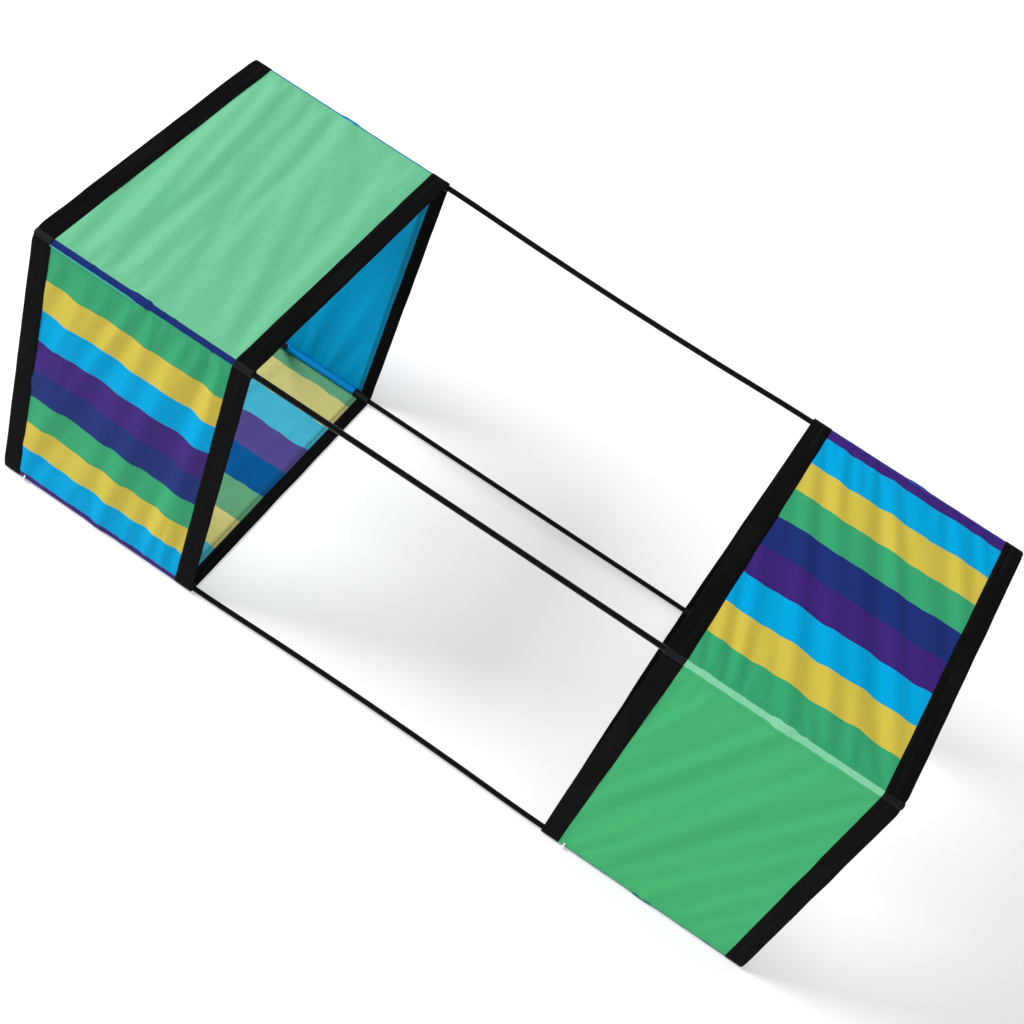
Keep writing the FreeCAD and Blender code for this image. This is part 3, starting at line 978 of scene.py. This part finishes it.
def make_sleeve(corner, cell):
    """Make the sleeve of one cell round a longeron.

    It swells over the spreader's fitting, and has an opening on the inside for the fitting's fork.
    """
    sign = CELLS[cell]
    axis = AXIS[corner]
    inward = np.array([0.0, -CORNERS[corner][0], -CORNERS[corner][1]]) / math.sqrt(2)
    inward_angle = math.atan2(inward[2], inward[1])
    steps, around = 120, 36
    opening = 7 * MM  # half its length along the rod
    half_cut = math.radians(62)  # half its turn round the rod
    seed = 4.4 * sign + 1.9 * list(CORNERS).index(corner)
    length = PANEL_HIGH_X - PANEL_LOW_X + 2 * TUCK
    xs = [sign * (PANEL_LOW_X - TUCK + length * j / steps) for j in range(steps + 1)]
    points, uvs = [], []
    for x in xs:
        lump = min(1.0, 1.7 * bell(x - sign * CELL_CENTRE, BUMP_LENGTH))
        for k in range(around):
            a = inward_angle + 2 * math.pi * k / around
            outer_share = 0.65 - 0.35 * math.cos(a - inward_angle)
            snug = (0.5 + 0.5 * math.cos(a - inward_angle)) ** 2 * (SLEEVE_RADIUS - SLEEVE_SNUG) * (1 - lump)
            pucker = noise.noise((x * 150, math.cos(a) + seed, math.sin(a))) * 0.22 * MM
            r = SLEEVE_RADIUS - snug + (BUMP_HEIGHT + 0.2 * MM) * lump * outer_share + pucker
            height = max(axis[2] + r * math.sin(a), FLOOR_GAP)
            points.append((x, axis[1] + r * math.cos(a), height))
            uvs.append((x, 2 * math.pi * k / around * SLEEVE_RADIUS))
    faces = []
    for f in grid_faces(steps + 1, around, wrap=True):
        j, k = divmod(f[0], around)
        middle_x = (xs[j] + xs[j + 1]) / 2
        turn = abs((2 * math.pi * (k + 0.5) / around + math.pi) % (2 * math.pi) - math.pi)
        if abs(middle_x - sign * CELL_CENTRE) < opening and turn < half_cut:
            continue
        faces.append(f if sign > 0 else tuple(reversed(f)))
    # the points inside the opening belong to no face
    used = sorted({k for f in faces for k in f})
    place = {k: n for n, k in enumerate(used)}
    faces = [tuple(place[k] for k in f) for f in faces]
    cloth = CLOTH[SLEEVE_CLOTH[f"{cell}_{corner}"]]
    sleeve = piece(f"{cell}_sleeve_{corner}", [points[k] for k in used], faces, [cloth],
                   uvs=[uvs[k] for k in used])
    solidify(sleeve, WRAP_CLOTH, -1.0)
    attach(sleeve, corner + "_corner")
    return sleeve


def make_piping():
    """Make the pale edge that shows below the tow cell's front sleeve, out to its fitting."""
    axis = AXIS["front_high"]
    path = []
    low, high = -PANEL_HIGH_X - 2 * MM, -CELL_CENTRE
    steps = 60
    for k in range(steps + 1):
        x = low + (high - low) * k / steps
        drop = 1.0 * MM + noise.noise((x * 60, 2.0, 5.0)) * 0.3 * MM
        path.append((x, axis[1] - SKIN_OUTER + 0.1 * MM, axis[2] - drop))
    points, faces = capsule_chain([path], 0.6 * MM, 8)
    piping = piece("tow_piping_front_high", points, faces, [CLOTH["ice"]])
    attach(piping, "front_side")


# -------------------------------- bridle ties


TIE_CORD_RADIUS = 0.8 * MM
TIE_RADIUS = SKIN_OUTER + 0.6 * MM
TIE_PITCH = 0.55 * MM  # from one turn of the cord to the next
TIE_KNOT_TURN = math.radians(222)  # outside the corner, clear of both sides when the frame folds


def tie_paths(x):
    """Return the paths of one tie's cord: two turns round the longeron, the knot's loop and two tails."""
    axis = AXIS["front_low"]
    steps = 40
    turns = []
    for k in range(2 * steps + 1):
        a = TIE_KNOT_TURN + 2 * math.pi * k / steps
        turns.append((x + TIE_PITCH * (k / steps - 1), axis[1] + TIE_RADIUS * math.cos(a),
                      max(axis[2] + TIE_RADIUS * math.sin(a), TIE_CORD_RADIUS)))
    knot_y = axis[1] + TIE_RADIUS * math.cos(TIE_KNOT_TURN)
    knot_z = axis[2] + TIE_RADIUS * math.sin(TIE_KNOT_TURN)
    loop = []
    loop_steps = 24
    for k in range(loop_steps + 1):
        a = 2 * math.pi * k / loop_steps
        loop.append((x + 1.3 * MM * math.cos(a), knot_y - 0.7 * MM - 0.5 * MM * math.sin(2 * a),
                     max(knot_z + 1.2 * MM * math.sin(a), TIE_CORD_RADIUS)))
    tails = [[(x + side * (0.6 + 0.9 * t) * MM, knot_y - (0.6 + 2.2 * t) * MM,
               knot_z + (1.2 * t + side * 1.4 * t) * MM) for t in (0, 0.3, 0.6, 0.85, 1.0)]
             for side in (-1, 1)]
    return [turns, loop] + tails


def make_ties():
    """Make the two bridle ties, short cords knotted round the front low longeron."""
    low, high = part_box("bridle_ties")
    for cell, x in (("tow", low.x + 0.5 * MM), ("tail", high.x - 0.5 * MM)):
        points, faces = capsule_chain(tie_paths(x), TIE_CORD_RADIUS, 10)
        tie = piece(f"{cell}_bridle_tie", points, faces, [CORD])
        subdivide(tie)
        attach(tie, "front_low_corner")
    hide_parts("bridle_ties")


# -------------------------------- carried-over parts


def dress_cad():
    """Give every CAD part that stays its material, and soften the moulded edges."""
    for name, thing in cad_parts.items():
        if name.startswith("longeron") or "spreader_rod" in name:
            material = ROD
        elif name.startswith("end_caps"):
            material = RUBBER
        elif name.startswith("pivot_pins"):
            material = STEEL
        elif "fitting" in name or "eye" in name or "hub" in name:
            material = PLASTIC
        else:
            material = BINDING  # cloth parts, which the fabric above stands in for
        for number in range(max(1, len(thing.material_slots))):
            if not thing.material_slots:
                thing.data.materials.append(material)
            thing.material_slots[number].material = material
        if material is PLASTIC:
            edge = thing.modifiers.new("soft_edges", "BEVEL")
            edge.width = 0.25 * MM
            edge.segments = 2
            edge.limit_method = "ANGLE"
            edge.angle_limit = math.radians(40)


# -------------------------------- stage, light and camera


FLOOR_TONE = (0.93, 0.93, 0.935, 1)  # as it lights the kite
FLOOR_TONE_SEEN = (0.56, 0.56, 0.563, 1)  # as the camera sees it, so that it isn't overexposed
SKY_LIGHT = 0.42


def make_stage():
    """Make the pale floor and the soft studio light."""
    nodes = Nodes("studio_floor")
    seen = nodes.add("LightPath").outputs["Is Camera Ray"]
    nodes.set("Base Color", nodes.mix(seen, FLOOR_TONE, FLOOR_TONE_SEEN))
    nodes.set("Roughness", 0.9)
    nodes.set("Emission Color", (1, 1, 1, 1))
    nodes.set("Emission Strength", 0.4)
    size = 12.0
    drop = 0.6 * MM
    corners = [(-size, -size, -drop), (size, -size, -drop), (size, size, -drop), (-size, size, -drop)]
    floor = piece("studio_floor", corners, [(0, 1, 2, 3)], [nodes.material])
    world = bpy.data.worlds.new("studio")
    bpy.context.scene.world = world
    world.use_nodes = True
    tree = world.node_tree
    background = tree.nodes["Background"]
    background.inputs["Color"].default_value = (1, 1, 1, 1)
    strength = tree.nodes.new("ShaderNodeMapRange")
    strength.inputs["To Min"].default_value = SKY_LIGHT
    strength.inputs["To Max"].default_value = 1.0
    tree.links.new(tree.nodes.new("ShaderNodeLightPath").outputs["Is Camera Ray"], strength.inputs["Value"])
    tree.links.new(strength.outputs[0], background.inputs["Strength"])
    # Name: place, size, power; each light faces the kite
    lamps = {
        "key": ((-6.0, -1.4, 5.2), 3.0, 820),
        "fill": ((2.6, -2.6, 2.2), 2.4, 16),
        "back": ((0.3, 3.0, 2.4), 2.2, 26),
    }
    for name, (place, size, power) in lamps.items():
        light = bpy.data.lights.new(name, "AREA")
        light.energy = power
        light.size = size
        lamp = bpy.data.objects.new(name, light)
        lamp.location = place
        lamp.rotation_euler = (Vector((0, 0, 0.15)) - Vector(place)).to_track_quat("-Z", "Y").to_euler()
        bpy.context.scene.collection.objects.link(lamp)
    bpy.context.scene.view_settings.view_transform = "Standard"


CAMERA_PLACE = Vector((0.2168, -1.2671, 1.7019))
CAMERA_TARGET = Vector((0.0185, 0.0057, 0.1977))
CAMERA_ROLL = math.radians(26.77)
CAMERA_LENS = 62.2


def make_camera():
    """Make the camera: above the kite's front, rolled so that the kite runs down to the right."""
    data = bpy.data.cameras.new("camera")
    data.lens = CAMERA_LENS
    data.sensor_width = 36.0
    camera = bpy.data.objects.new("camera", data)
    bpy.context.scene.collection.objects.link(camera)
    ahead = (CAMERA_TARGET - CAMERA_PLACE).normalized()
    level = ahead.cross(Vector((0, 0, 1))).normalized()
    upward = level.cross(ahead)
    right = level * math.cos(CAMERA_ROLL) + upward * math.sin(CAMERA_ROLL)
    up = upward * math.cos(CAMERA_ROLL) - level * math.sin(CAMERA_ROLL)
    turn = Matrix((right, up, -ahead)).transposed()
    camera.matrix_world = Matrix.Translation(CAMERA_PLACE) @ turn.to_4x4()
    bpy.context.scene.camera = camera


# -------------------------------- build everything

sheets = [Sheet(cell, side) for cell in CELLS for side in SIDES]
drape(sheets)
for sheet in sheets:
    make_panel(sheet)
for side in SIDES:
    hems = [make_hem(side, cell, mouth) for cell in CELLS for mouth in ("outer", "inner")]
    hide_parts("hems_" + side)
for corner in CORNERS:
    pockets = [make_corner_pocket(corner, cell) for cell in CELLS]
    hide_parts("corner_pockets_" + corner)
    wraps = [make_inner_wrap(corner, cell) for cell in CELLS]
    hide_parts("inner_corner_wraps_" + corner)
    covers = [make_sleeve(corner, cell) for cell in CELLS]
    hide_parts("sleeves_" + corner)
make_piping()
make_ties()
dress_cad()
make_stage()
make_camera()
